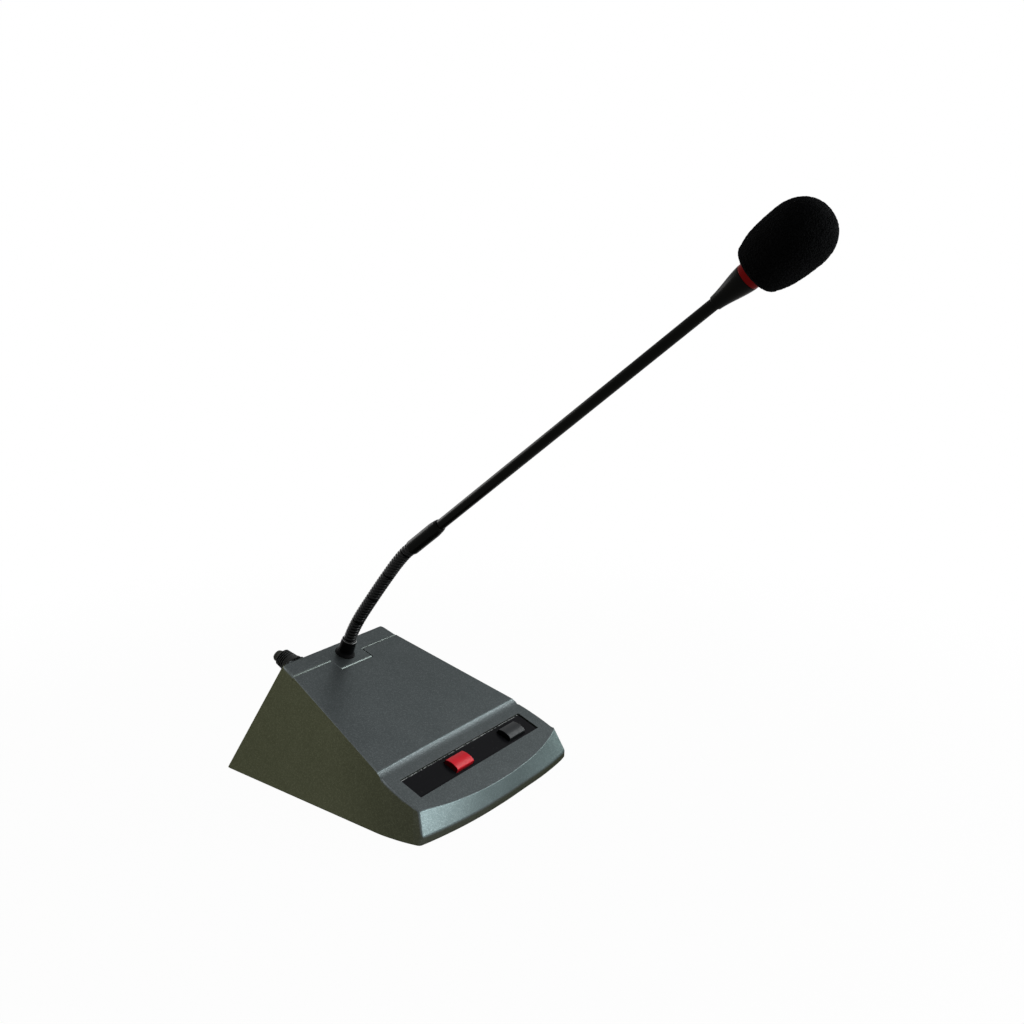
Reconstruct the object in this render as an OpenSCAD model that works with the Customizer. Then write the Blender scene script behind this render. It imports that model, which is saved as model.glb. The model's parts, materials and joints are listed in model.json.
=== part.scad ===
// Gooseneck conference microphone: a wedge-shaped desk base with two push buttons,
// a ribbed bendable neck, a straight stem and a foam-covered head with a light ring.
// Millimetres, +Z up, front towards -Y. The origin is the middle of the pad's underside.

/* [Base form] */
// Depth of the base, from the nose to the rear foot
base_depth = 168.4; // [162:0.2:178]
// Height of the rear top edge above the table
rear_height = 71; // [67:0.2:77]
// Width of the base at floor level, half way along its depth
mid_width = 118.8; // [112:0.2:130]
// Height of the nose, where the line of the top face meets it
nose_h = 15; // [13.5:0.1:17]
// Slope of the back wall
back_slope = 55.7; // [52:0.1:62]
// Angle by which each side closes in towards the rear
side_taper = 10.1; // [6:0.1:12]
// Inward lean of the side walls
side_draft = 8.1; // [5:0.1:10]
// Radius of the rounded cheeks at the front of the sides
cheek_r = 69; // [69:1:78]
// Position of the widest point, in front of the middle
cheek_forward = 58; // [52:1:62]
// Radius of the bowed nose seen from above
nose_r = 241; // [200:1:300]
// Backward lean of the nose
nose_lean = 10; // [5:0.5:16]
// Height of the crease above the undercut chin
chin_h = 5.6; // [4:0.1:7]
// Depth of the undercut below the crease
chin_in = 0.6; // [0.4:0.1:1.5]
// Wall thickness of the covers
wall = 2.5; // [2:0.1:3]

/* [Top step and seam] */
// Length of the control face, from the step down to the nose
control_l = 42.7; // [40:0.1:46]
// Drop of the control face below the main face
step_drop = 1; // [0.6:0.1:1.8]
// Radius of the hollow under the step
step_r = 6; // [4:0.5:8]
// Width of the rear strip, measured down the slope
strip_w = 11.1; // [10:0.1:13]
// Width of the tongue around the neck
tongue_w = 27.1; // [24:0.1:32]
// Length of the tongue in front of the strip
tongue_l = 8.5; // [7:0.1:10]
// Open width of the seam groove
seam_gap = 0.8; // [0.5:0.1:1]
// Overlap of the two covers under the seam
lap_l = 2.4; // [1.5:0.1:3]

/* [Controls] */
// Distance from the step down to the middle of the control strip
panel_from_step = 18.1; // [17:0.1:20]
// Width of the black control strip
panel_w = 110.6; // [104:0.2:114]
// Length of the black control strip down the slope
panel_l = 14.7; // [13.5:0.1:15.5]
// Depth of the pocket for the strip
pocket_depth = 1.7; // [1.5:0.1:2]
// Thickness of the strip
inlay_t = 1.1; // [0.9:0.1:1.3]
// Thickness added under the pocket
pocket_rib = 1; // [0.8:0.1:1.2]
// Width of a button
button_w = 15; // [13:0.5:17]
// Length of a button down the slope
button_l = 9; // [8.5:0.1:9.6]
// Distance of the buttons below the middle of the strip
button_low = 0.8; // [0:0.1:1]
// Height of a button's edge above the control face
button_edge_h = 1.3; // [1:0.1:2]
// Crown of a button above its edge
button_crown = 1.1; // [0.6:0.1:1.4]
// Travel of a button
button_travel = 2; // [1.5:0.1:2.2]
// Sideways position of the red button
red_x = -14; // [-17:0.1:-12]
// Sideways position of the grey button
grey_x = 36.5; // [34:0.1:39]
// Clearance around a button in its window
window_gap = 0.5; // [0.3:0.1:0.7]

/* [Neck] */
// Distance of the neck from the rear edge, down the slope
neck_run = 9.1; // [8.5:0.1:10]
// Diameter of the collar at its foot
collar_d = 9.2; // [8.8:0.1:10]
// Diameter of the collar at its top
collar_top_d = 8.6; // [8.2:0.1:9]
// Height of the collar above the cover
collar_h = 9.8; // [8.5:0.1:12]
// Diameter of the collar's flange
flange_d = 11.6; // [11:0.1:13]
// Thickness of the collar's flange
flange_t = 0.6; // [0.4:0.1:1]
// Diameter of the neck over its ribs
neck_d = 7.3; // [6.8:0.1:7.8]
// Depth of the grooves between the ribs
rib_depth = 0.55; // [0.3:0.05:0.7]
// Bore of the neck
neck_bore_d = 3.8; // [3:0.1:4.2]
// Length of neck that one joint bends
link_pitch = 9.6; // [9:0.1:10]
// Ribs on each link
link_ribs = 6; // [5:1:7]
// Radius of the ball-shaped link ends
ball_r = 6; // [5.8:0.1:6.4]
// Clearance between link ends
ball_gap = 0.3; // [0.2:0.05:0.4]
// Slope of the stem at rest
stem_elev = 36.5; // [30:0.1:44]

/* [Stem and head] */
// Diameter of the coupling sleeve
sleeve_d = 8.4; // [8:0.1:9]
// Length of the coupling sleeve
sleeve_l = 25.5; // [22:0.5:30]
// Diameter of the stem tube
stem_d = 5.9; // [5.5:0.1:6.4]
// Bore of the stem tube
stem_bore_d = 4.4; // [3.8:0.1:4.8]
// Visible length of the stem tube
stem_l = 198; // [150:0.5:240]
// Depth of the stem tube in its sockets
stem_insert = 8; // [6:0.5:10]
// Diameter of the head cone at the stem
cone_d = 7.1; // [6.8:0.1:7.8]
// Diameter of the head at the light ring
head_d = 13; // [12.4:0.1:14]
// Length of the head cone
cone_l = 17; // [14:0.5:20]
// Length of the light ring
ring_l = 2.7; // [2:0.1:3.5]
// Wall of the light ring
ring_wall = 0.8; // [0.6:0.1:1]
// Length of the capsule basket
basket_l = 26; // [22:0.5:30]
// Wall of the capsule basket
basket_wall = 0.6; // [0.5:0.1:0.8]
// Diameter of the foam windscreen
foam_d = 31.4; // [29:0.2:34]
// Length of the foam windscreen
foam_l = 45; // [43:0.5:50]
// Widest point of the foam, from its mouth
foam_belly = 27.5; // [25:0.5:29]

/* [Gland] */
// Sideways position of the cable gland
gland_x = -28; // [-30:0.5:-26]
// Distance of the gland below the rear edge, down the back wall
gland_run = 7.7; // [7.2:0.1:8.5]
// Diameter of the gland's flange
gland_flange_d = 14; // [13.4:0.2:14.6]
// Diameter of the boot next to the flange
boot_d = 10.8; // [10:0.1:12]
// Diameter of the boot at its tip
boot_tip_d = 9.8; // [8.6:0.1:10]
// Length of the ribbed boot
boot_l = 8.4; // [7:0.2:11]
// Rounded end of the boot
boot_end_l = 3; // [2:0.5:4]
// Bore for the cable
cable_bore_d = 5.2; // [4.6:0.1:5.6]

/* [Bottom and inside] */
// Thickness of the rubber pad
pad_t = 1; // [0.8:0.1:1.5]
// Distance of the pad's edge from the outside of the base
pad_in = 16; // [14:0.5:20]
// Thickness of the bottom plate
plate_t = 3; // [2.6:0.1:3.4]
// Diameter of the cover screws
screw_d = 3; // [2.5:0.1:3.2]
// Length of the cover screws
screw_l = 12; // [10:0.5:14]
// Diameter of the screw bosses
boss_d = 7; // [6.4:0.1:8]
// Height of the screw bosses
boss_h = 16; // [14:0.5:18]
// Width of the ballast weight
ballast_w = 90; // [70:1:96]
// Length of the ballast weight
ballast_l = 36; // [28:1:40]
// Thickness of the ballast weight
ballast_t = 8; // [6:0.5:9]
// Width of the circuit board
board_w = 70; // [60:1:76]
// Length of the circuit board
board_l = 46; // [40:1:50]
// Thickness of the circuit boards
board_t = 1.6; // [1.2:0.1:1.8]
// Height of the board standoffs
standoff_h = 6; // [5:0.5:8]

/* [Hidden] */
$fn = 64;

// Common clearances: loose pieces, seated pieces, and a cut that passes right through
fit = 0.3;
snug = 0.05;
through = 1;
// Size of the construction blocks, larger than the base
reach = 220;

// Wedge of the base
front_y = -base_depth / 2;
ridge_y = base_depth / 2 - (rear_height - pad_t) / tan(back_slope);
// Slope of the top face
top_tilt = atan2(rear_height - nose_h, ridge_y - front_y);
cheek_x = mid_width / 2 - cheek_r / cos(side_taper) + cheek_forward * tan(side_taper);
plate_top = pad_t + plate_t;
half_lap = wall / 2;
lap_extra = 0.2;
strip_t = wall + lap_extra;

// Step between the main face and the control face
step_run = (ridge_y - front_y) / cos(top_tilt) - control_l;
hollow_run = step_run + sqrt(pow(step_r, 2) - pow(step_r - step_drop, 2));
panel_run = step_run + panel_from_step;

// Screw places, seen from below
front_boss_x = cheek_x + cheek_r - wall - boss_d / 2;
side_boss_y = 38;
back_boss_in = 17;
side_boss_x = mid_width / 2 - side_boss_y * tan(side_taper) - wall - boss_d / 2;
back_boss = [24, base_depth / 2 - back_boss_in];
main_bosses = [[front_boss_x, -cheek_forward], [-front_boss_x, -cheek_forward],
  [side_boss_x, side_boss_y], [-side_boss_x, side_boss_y]];
rear_bosses = [[back_boss[0], back_boss[1]], [-back_boss[0], back_boss[1]]];
head_d_ratio = 1.9;
screw_head_h = 1.6;

// Ballast and circuit board on the bottom plate
ballast_y = -22;
ballast_screw_in = 8;
ballast_screw_x = ballast_w / 2 - ballast_screw_in;
board_y = 34;
board_z = plate_top + standoff_h;
board_corner = 4.5;
standoff_d = 5;
board_screw_d = 2.6;
board_screw_l = 5;
pan_head_d = 5;
pan_head_h = 1.8;

// Switches under the control face, measured down from that face
floor_under = wall + pocket_rib;
button_flange = 1.2;
button_flange_t = 0.9;
button_stop = floor_under + fit;
stem_w = 4;
stem_depth = 4;
switch_top = button_stop + button_flange_t + button_travel + fit;
switch_h = 5.2;
switch_w = 12;
switch_l = 10;
switch_board_l = 13;
switch_board_end = 13;
switch_post_d = 6;
switch_post_x = [red_x - switch_board_end, grey_x + switch_board_end];

// Thread of the neck under the cover
stud_d = 7;
stud_l = 12;
washer_t = 1;
nut_flats = 11;
nut_t = 4;

// Neck links: the joint centres follow one bend that grows towards the stem
links = 8;
joints = links + 1;
root_elev = 90 - top_tilt;
// Share of the whole rest bend at each joint, from the collar to the stem
bend_share = [0.05, 0.22, 0.16, 0.05, 0.02, 0.03, 0.04, 0.15, 0.28];
groove_r = neck_d / 2 - rib_depth;
cup_r = ball_r + ball_gap;

// Head pieces along the stem axis, from the last joint
sleeve_chamfer = 1;
sleeve_taper_l = 5.6;
sleeve_nose_l = 1.8;
sleeve_taper = 0.45;
sleeve_lip = 0.4;
sleeve_z = sqrt(pow(cup_r, 2) - pow(sleeve_d / 2, 2));
stem_z = sleeve_z + sleeve_l;
cone_z = stem_z + stem_l;
ring_z = cone_z + cone_l;
basket_z = ring_z + ring_l;
foam_z = basket_z + fit;
basket_d = head_d - 0.6;
spigot_d = head_d - 2 * ring_wall - 2 * snug;
basket_seat_d = basket_d - 2 * basket_wall - 2 * snug;
spigot_l = 4;
ring_board_t = 1;
capsule_d = 9.6;
capsule_l = 6;
capsule_gap = 1.2;

// Gland on the back wall, its axis level with the top face
gland_seat = 1.6;
gland_flange_t = 1.4;
gland_shank_d = 7.2;
gland_inner = 5;
gland_clip_d = 9.6;
gland_clip_t = 1.6;
gland_tail = 1.4;
boot_ribs = 4;

// Point on the sloping top: u runs down from the rear edge, v stands out from the main face
function on_slope(u, v) = [ridge_y - u * cos(top_tilt) - v * sin(top_tilt),
  rear_height - u * sin(top_tilt) + v * cos(top_tilt)];

// Distance from the rear edge to the step, on a face lying deeper by an amount
function step_at(depth) = hollow_run
  - sqrt(pow(step_r + depth, 2) - pow(step_r - step_drop + depth, 2));

// Bend at one joint, and the slope of the neck after it
function bend(k) = (root_elev - stem_elev) * bend_share[k - 1];
function elev(k) = k == 0 ? root_elev : elev(k - 1) - bend(k);

// Direction of a slope towards the front, and the joint centres in the middle plane
function heading(angle) = [-cos(angle), sin(angle)];
function joint_at(k) = k == 1
  ? on_slope(neck_run, collar_h - sqrt(pow(ball_r, 2) - pow(collar_top_d / 2, 2)))
  : joint_at(k - 1) + link_pitch * heading(elev(k - 1));

// Ball-shaped end as points from the bore out to a radius
function ball_arc(r, inner, outer, z0) = [for (i = [0:4])
  let (a = asin(inner / r) + (asin(outer / r) - asin(inner / r)) * i / 4)
  [r * sin(a), z0 + r * cos(a)]];

// Smooth flare from 0 to 1, half straight and half eased
function flare(t) = t / 2 + t * t * (3 - 2 * t) / 2;

// Radius of the foam at a height above its mouth
function foam_r(z) = z < foam_belly
  ? foam_d / 2 * pow(1 - pow((foam_belly - z) / (foam_belly + 0.4), 3.1), 1 / 3.1)
  : foam_d / 2 * pow(1 - pow((z - foam_belly) / (foam_l - foam_belly), 2.15), 1 / 2.15);

// Places pieces on the main face, on the control face, on the gland's axis and along the neck
module slope_frame(u, v = 0) {
  translate([0, on_slope(u, v)[0], on_slope(u, v)[1]]) rotate([top_tilt, 0, 0]) children();
}
module control_frame(x = 0) {
  slope_frame(panel_run, -step_drop) translate([x, 0, 0]) children();
}
module button_frame(x) {
  control_frame(x) translate([0, -button_low, 0]) children();
}
module gland_frame() {
  translate([gland_x, ridge_y + gland_run * cos(back_slope), rear_height - gland_run * sin(back_slope)])
    rotate([top_tilt - 90, 0, 0]) children();
}
module neck_frame(k) {
  translate([0, joint_at(k)[0], joint_at(k)[1]]) rotate([90 - elev(k), 0, 0]) children();
}
module head_frame() {
  neck_frame(joints) children();
}

// Block centred on X and Y, from one height up to another
module block(w, l, low, high) {
  translate([-w / 2, -l / 2, low]) cube([w, l, high - low]);
}

// Hexagon across its flats, with a bore
module hex_nut(flats, bore, h) {
  difference() {
    cylinder(h = h, d = flats / cos(30), $fn = 6);
    translate([0, 0, -through]) cylinder(h = h + 2 * through, d = bore);
  }
}

// Ring between two diameters
module ring(outer, inner, h) {
  difference() {
    cylinder(h = h, d = outer);
    translate([0, 0, -through]) cylinder(h = h + 2 * through, d = inner);
  }
}

// Side view of the wedge with its faces moved inwards
module wedge_outline(top_in, back_in, low) {
  intersection() {
    union() {
      polygon([on_slope(-reach, -top_in), on_slope(step_at(top_in), -top_in),
        on_slope(step_at(top_in), -step_drop - top_in), on_slope(reach, -step_drop - top_in),
        [-reach, low], [reach, low]]);
      translate(on_slope(0, 0)) rotate(top_tilt) difference() {
        translate([-hollow_run, -step_drop - top_in - through])
          square([hollow_run - step_at(top_in), step_drop + through]);
        translate([-hollow_run, step_r - step_drop]) circle(r = step_r + top_in);
      }
    }
    translate(on_slope(0, 0)) rotate(-back_slope) translate([-reach, -2 * reach])
      square([2 * reach, 2 * reach - back_in]);
  }
}

// Slab on the inside of the back wall
module back_slab(thick) {
  translate([-reach / 2, 0, 0]) rotate([90, 0, 90]) linear_extrude(reach)
    translate(on_slope(0, 0)) rotate(-back_slope) translate([-reach, -thick])
      square([2 * reach, thick + through]);
}

// One side of the base: a flat leaning wall that runs into a rounded cheek
module side_body(side_in, low) {
  lean = tan(side_draft);
  edge = cheek_r - side_in / cos(side_draft);
  translate([cheek_x, -cheek_forward, 0]) rotate([0, 0, side_taper]) {
    translate([0, 0, low])
      cylinder(h = reach, r1 = edge - low * lean, r2 = edge - (low + reach) * lean, $fn = 128);
    translate([0, reach, 0]) rotate([90, 0, 0]) linear_extrude(reach)
      polygon([[-reach, low], [edge - low * lean, low],
        [edge - (low + reach) * lean, low + reach], [-reach, low + reach]]);
  }
}

// Bowed nose that leans back above the crease and is undercut below it
module nose_body(front_in, low) {
  r = nose_r - front_in / cos(nose_lean);
  translate([0, front_y + nose_r, 0]) {
    translate([0, 0, chin_h])
      cylinder(h = reach, r1 = r, r2 = r - reach * tan(nose_lean), $fn = 180);
    translate([0, 0, pad_t]) cylinder(h = chin_h - pad_t, r1 = r - chin_in, r2 = r, $fn = 180);
    translate([0, 0, low]) cylinder(h = pad_t - low, r = r - chin_in, $fn = 180);
  }
}

// Whole wedge with its faces moved inwards, standing on a level
module base_form(top_in, side_in, front_in, back_in, low) {
  intersection() {
    translate([-reach / 2, 0, 0]) rotate([90, 0, 90]) linear_extrude(reach)
      wedge_outline(top_in, back_in, low);
    side_body(side_in, low);
    mirror([1, 0, 0]) side_body(side_in, low);
    nose_body(front_in, low);
  }
}

// Rear strip and tongue, grown by a margin, between two depths in the main face
module strip_zone(margin, low, high) {
  slope_frame(strip_w + margin) translate([-reach / 2, 0, low]) cube([reach, reach, high - low]);
  slope_frame(strip_w + tongue_l + margin) translate([-tongue_w / 2 - margin, 0, low])
    cube([tongue_w + 2 * margin, tongue_l + strip_w, high - low]);
}

// Screw boss standing on the bottom plate, and the hole in it
module boss(place) {
  translate([place[0], place[1], plate_top]) cylinder(h = boss_h, d = boss_d);
}
module boss_hole(place) {
  translate([place[0], place[1], pad_t]) cylinder(h = screw_l + through, d = screw_d + 2 * snug);
}

// Countersunk screw, head down, grown by a clearance
module countersunk(place, shank, grow) {
  translate([place[0], place[1], pad_t]) {
    cylinder(h = screw_head_h, d1 = screw_d * head_d_ratio + 2 * grow, d2 = screw_d + 2 * grow);
    cylinder(h = shank, d = screw_d + 2 * grow);
  }
}

module base_pad() {
  color("#1c1c1c") intersection() {
    base_form(0, pad_in, pad_in, pad_in, 0);
    block(reach, reach, 0, pad_t);
  }
}

module bottom_plate() {
  inset = wall + fit;
  color("#2b2b2a") difference() {
    intersection() {
      base_form(0, inset, inset, inset, 0);
      block(reach, reach, pad_t, plate_top);
    }
    for (place = concat(main_bosses, rear_bosses)) {
      countersunk(place, plate_t + through, 2 * snug);
    }
    for (x = [-ballast_screw_x, ballast_screw_x]) {
      countersunk([x, ballast_y], plate_t + through, 2 * snug);
    }
  }
}

module main_cover() {
  color("#50565a") difference() {
    union() {
      difference() {
        base_form(0, 0, 0, 0, pad_t);
        base_form(wall, wall, wall, -reach, -through);
      }
      intersection() {
        base_form(half_lap, half_lap, half_lap, wall, pad_t);
        union() {
          for (place = main_bosses) {
            boss(place);
          }
          control_frame()
            block(panel_w + 2 * wall, panel_l + 2 * wall, -floor_under, -half_lap);
          for (x = switch_post_x) {
            control_frame(x) translate([0, 0, -switch_top - switch_h])
              cylinder(h = switch_top + switch_h - half_lap, d = switch_post_d);
          }
        }
      }
    }
    strip_zone(seam_gap, -half_lap - lap_extra, reach);
    strip_zone(seam_gap + lap_l + snug, -wall, -half_lap);
    intersection() {
      base_form(half_lap + lap_extra, wall, wall, -reach, -through);
      strip_zone(seam_gap + lap_l + snug, -wall - through, reach);
    }
    control_frame() block(panel_w, panel_l, -pocket_depth, reach);
    for (x = [red_x, grey_x]) {
      button_frame(x)
        block(button_w + 2 * window_gap, button_l + 2 * window_gap, -reach / 8, reach);
    }
    for (x = switch_post_x) {
      control_frame(x) translate([0, 0, -switch_top - switch_h - through])
        cylinder(h = board_screw_l + through, d = board_screw_d + 2 * snug);
    }
    for (place = main_bosses) {
      boss_hole(place);
    }
  }
}

module rear_cover() {
  inset = wall + snug;
  color("#50565a") difference() {
    union() {
      intersection() {
        base_form(0, 0, 0, 0, pad_t);
        union() {
          strip_zone(0, -wall, reach);
          intersection() {
            base_form(half_lap + snug, inset, wall, -reach, pad_t);
            union() {
              strip_zone(seam_gap + lap_l, -strip_t, reach);
              back_slab(wall);
            }
          }
        }
      }
      intersection() {
        base_form(wall, inset, wall, half_lap, pad_t);
        union() {
          for (place = rear_bosses) {
            boss(place);
          }
          gland_frame() translate([0, 0, -gland_inner]) cylinder(h = gland_inner, d = gland_flange_d);
        }
      }
      gland_frame() translate([0, 0, -wall]) cylinder(h = wall + gland_seat, d = gland_flange_d);
    }
    slope_frame(neck_run) translate([0, 0, -reach / 4]) cylinder(h = reach / 2, d = stud_d + 2 * fit);
    gland_frame() translate([0, 0, -reach / 8]) cylinder(h = reach / 4, d = gland_shank_d + 2 * snug);
    for (place = rear_bosses) {
      boss_hole(place);
    }
  }
}

module cover_screws() {
  color("#8d8f92") for (place = concat(main_bosses, rear_bosses)) {
    countersunk(place, screw_l, 0);
  }
}

module ballast_weight() {
  color("#6f7275") difference() {
    translate([0, ballast_y, 0]) block(ballast_w, ballast_l, plate_top, plate_top + ballast_t);
    for (x = [-ballast_screw_x, ballast_screw_x]) {
      boss_hole([x, ballast_y]);
    }
  }
}

module ballast_screws() {
  color("#8d8f92") for (x = [-ballast_screw_x, ballast_screw_x]) {
    countersunk([x, ballast_y], plate_t + ballast_t - through, 0);
  }
}

// Places on the four corners of the circuit board
module board_corners() {
  for (x = [-1, 1], y = [-1, 1]) {
    translate([x * (board_w / 2 - board_corner), board_y + y * (board_l / 2 - board_corner), 0])
      children();
  }
}

module circuit_board() {
  color("#1f5a34") difference() {
    translate([0, board_y, 0]) block(board_w, board_l, board_z, board_z + board_t);
    board_corners() translate([0, 0, plate_top]) cylinder(h = reach / 8, d = board_screw_d + 2 * snug);
  }
}

module board_standoffs() {
  color("#b08d3c") board_corners() translate([0, 0, plate_top])
    ring(standoff_d, board_screw_d + 2 * snug, standoff_h);
}

module board_screws() {
  color("#8d8f92") board_corners() translate([0, 0, board_z + board_t]) pan_screw();
}

// Pan head screw, its head standing on the level it fastens
module pan_screw() {
  cylinder(h = pan_head_h, d = pan_head_d);
  translate([0, 0, -board_screw_l]) cylinder(h = board_screw_l, d = board_screw_d);
}

module control_inlay() {
  color("#101012") control_frame() difference() {
    block(panel_w - 2 * snug, panel_l - 2 * snug, -pocket_depth, inlay_t - pocket_depth);
    for (x = [red_x, grey_x]) {
      translate([x, -button_low, 0])
        block(button_w + 2 * window_gap, button_l + 2 * window_gap, -reach / 8, reach / 8);
    }
  }
}

// Push button with a crowned top, a stop flange under the cover and a square stem
module button(x) {
  crown_r = (pow(button_l / 2, 2) + pow(button_crown, 2)) / (2 * button_crown);
  top = button_edge_h + button_crown;
  button_frame(x) {
    intersection() {
      block(button_w, button_l, -button_stop, top);
      translate([-button_w, 0, top - crown_r]) rotate([0, 90, 0])
        cylinder(h = 2 * button_w, r = crown_r, $fn = 96);
    }
    block(button_w + 2 * button_flange, button_l + 2 * button_flange,
      -button_stop - button_flange_t, -button_stop);
    block(stem_w, stem_w, -button_stop - button_flange_t - stem_depth, -button_stop - button_flange_t);
  }
}

module red_button() {
  color("#c8323c") button(red_x);
}

module grey_button() {
  color("#4a4c4f") button(grey_x);
}

// Switch housing with a square well for the button's stem
module switch_body(x) {
  button_frame(x) difference() {
    block(switch_w, switch_l, -switch_top - switch_h, -switch_top);
    block(stem_w + 2 * fit, stem_w + 2 * fit,
      -button_stop - button_flange_t - stem_depth - button_travel - fit, 0);
  }
}

module red_switch() {
  color("#2a2a2c") switch_body(red_x);
}

module grey_switch() {
  color("#2a2a2c") switch_body(grey_x);
}

module switch_board() {
  low = -switch_top - switch_h - board_t;
  span = switch_post_x[1] - switch_post_x[0] + switch_post_d;
  color("#1f5a34") difference() {
    control_frame((switch_post_x[0] + switch_post_x[1]) / 2)
      block(span, switch_board_l, low, low + board_t);
    for (x = switch_post_x) {
      control_frame(x) translate([0, 0, low - through])
        cylinder(h = board_t + 2 * through, d = board_screw_d + 2 * snug);
    }
  }
}

module switch_board_screws() {
  color("#8d8f92") for (x = switch_post_x) {
    control_frame(x) translate([0, 0, -switch_top - switch_h - board_t]) mirror([0, 0, 1]) pan_screw();
  }
}

// Collar with a flange on the cover, a threaded stud below it and a ball-shaped top
module neck_collar() {
  ball_z = collar_h - sqrt(pow(ball_r, 2) - pow(collar_top_d / 2, 2));
  bore_r = neck_bore_d / 2;
  rim = 0.8;
  color("#0b0b0c") slope_frame(neck_run) rotate_extrude()
    polygon(concat([[bore_r, -stud_l], [stud_d / 2, -stud_l], [stud_d / 2, 0], [flange_d / 2, 0],
      [flange_d / 2, flange_t / 2], [flange_d / 2 - flange_t / 2, flange_t], [collar_d / 2, flange_t],
      [collar_top_d / 2, collar_h - rim]],
      [for (i = [4:-1:0]) ball_arc(ball_r, bore_r, collar_top_d / 2, ball_z)[i]]));
}

module neck_washer() {
  color("#9a9c9f") slope_frame(neck_run, -strip_t - washer_t)
    ring(nut_flats / cos(30), stud_d + 2 * snug, washer_t);
}

module neck_nut() {
  color("#9a9c9f") slope_frame(neck_run, -strip_t - washer_t - nut_t)
    hex_nut(nut_flats, stud_d + 2 * snug, nut_t);
}

// One ribbed link: a cup over the ball before it and a ball for the next cup
module neck_link(k) {
  bore_r = neck_bore_d / 2;
  low = sqrt(pow(cup_r, 2) - pow(groove_r, 2));
  high = link_pitch + sqrt(pow(ball_r, 2) - pow(groove_r, 2));
  pitch = (high - low) / link_ribs;
  crest = groove_r + rib_depth;
  ribs = [for (i = [0:link_ribs - 1]) each [[groove_r + rib_depth * 0.6, low + (i + 0.12) * pitch],
    [crest, low + (i + 0.34) * pitch], [crest, low + (i + 0.56) * pitch],
    [groove_r + rib_depth * 0.6, low + (i + 0.78) * pitch], [groove_r, low + (i + 0.9) * pitch]]];
  color("#141415") neck_frame(k) rotate_extrude()
    polygon(concat(ball_arc(cup_r, bore_r, groove_r, 0), ribs,
      [for (i = [4:-1:0]) ball_arc(ball_r, bore_r, groove_r, link_pitch)[i]]));
}

// Sleeve that joins the neck to the stem: chamfered foot and a tapered end
module coupling_sleeve() {
  bore_r = neck_bore_d / 2;
  r = sleeve_d / 2;
  foot = sqrt(pow(cup_r, 2) - pow(r - sleeve_chamfer, 2));
  socket_r = stem_d / 2 + snug;
  color("#0d0d0e") head_frame() rotate_extrude()
    polygon(concat(ball_arc(cup_r, bore_r, r - sleeve_chamfer, 0),
      [[r, foot + sleeve_chamfer], [r, stem_z - sleeve_taper_l],
      [r - sleeve_taper, stem_z - sleeve_nose_l], [socket_r + sleeve_lip, stem_z], [socket_r, stem_z],
      [socket_r, stem_z - stem_insert], [bore_r, stem_z - stem_insert]]));
}

module stem_tube() {
  color("#0c0c0d") head_frame() translate([0, 0, stem_z - stem_insert])
    ring(stem_d, stem_bore_d, stem_l + 2 * stem_insert);
}

// Flared head with a socket for the stem and a spigot for the ring and the basket
module head_cone() {
  steps = 10;
  socket_r = stem_d / 2 + snug;
  color("#101011") head_frame() rotate_extrude()
    polygon(concat([[socket_r, cone_z], [cone_d / 2 - 0.3, cone_z]],
      [for (i = [0:steps]) [cone_d / 2 + (head_d - cone_d) / 2 * flare(i / steps),
        cone_z + 0.3 + (cone_l - 0.3) * i / steps]],
      [[spigot_d / 2, ring_z], [spigot_d / 2, basket_z - snug], [basket_seat_d / 2, basket_z - snug],
      [basket_seat_d / 2, basket_z + spigot_l], [stem_bore_d / 2, basket_z + spigot_l],
      [stem_bore_d / 2, cone_z + stem_insert],
      [socket_r, cone_z + stem_insert]]));
}

module light_ring() {
  color("#c01818") head_frame() translate([0, 0, ring_z])
    ring(head_d, head_d - 2 * ring_wall, ring_l);
}

module ring_board() {
  color("#1f5a34") head_frame() translate([0, 0, basket_z + spigot_l])
    ring(basket_seat_d, stem_bore_d, ring_board_t);
}

// Slotted basket with a domed end that carries the capsule
module capsule_basket() {
  r = basket_d / 2;
  dome_h = 3;
  slots = 8;
  slot_w = 1.6;
  slot_foot = 4;
  slot_ends = 7;
  inner = r - basket_wall;
  color("#3a3b3d") head_frame() difference() {
    translate([0, 0, basket_z]) rotate_extrude()
      polygon([[inner, 0], [r, 0], [r, basket_l - dome_h], [r * 0.86, basket_l - dome_h * 0.45],
        [r * 0.55, basket_l], [0, basket_l], [0, basket_l - basket_wall],
        [inner * 0.55, basket_l - basket_wall], [inner * 0.86, basket_l - dome_h * 0.5],
        [inner, basket_l - dome_h]]);
    for (i = [0:slots / 2 - 1]) {
      rotate([0, 0, i * 360 / slots]) translate([0, 0, basket_z])
        block(basket_d + 2 * through, slot_w, spigot_l + slot_foot, basket_l - dome_h - slot_ends);
    }
  }
}

module capsule_holder() {
  color("#1a1a1a") head_frame() translate([0, 0, capsule_at()])
    ring(basket_seat_d, capsule_d + 2 * snug, capsule_l - 1);
}

module mic_capsule() {
  color("#b9bbbd") head_frame() translate([0, 0, capsule_at()]) {
    cylinder(h = capsule_l, d = capsule_d);
    translate([0, 0, -0.8]) cylinder(h = 0.8, d = capsule_d * 0.7);
  }
}

// Height of the capsule's back along the head axis
function capsule_at() = basket_z + basket_l - 3 - capsule_gap - capsule_l;

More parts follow.
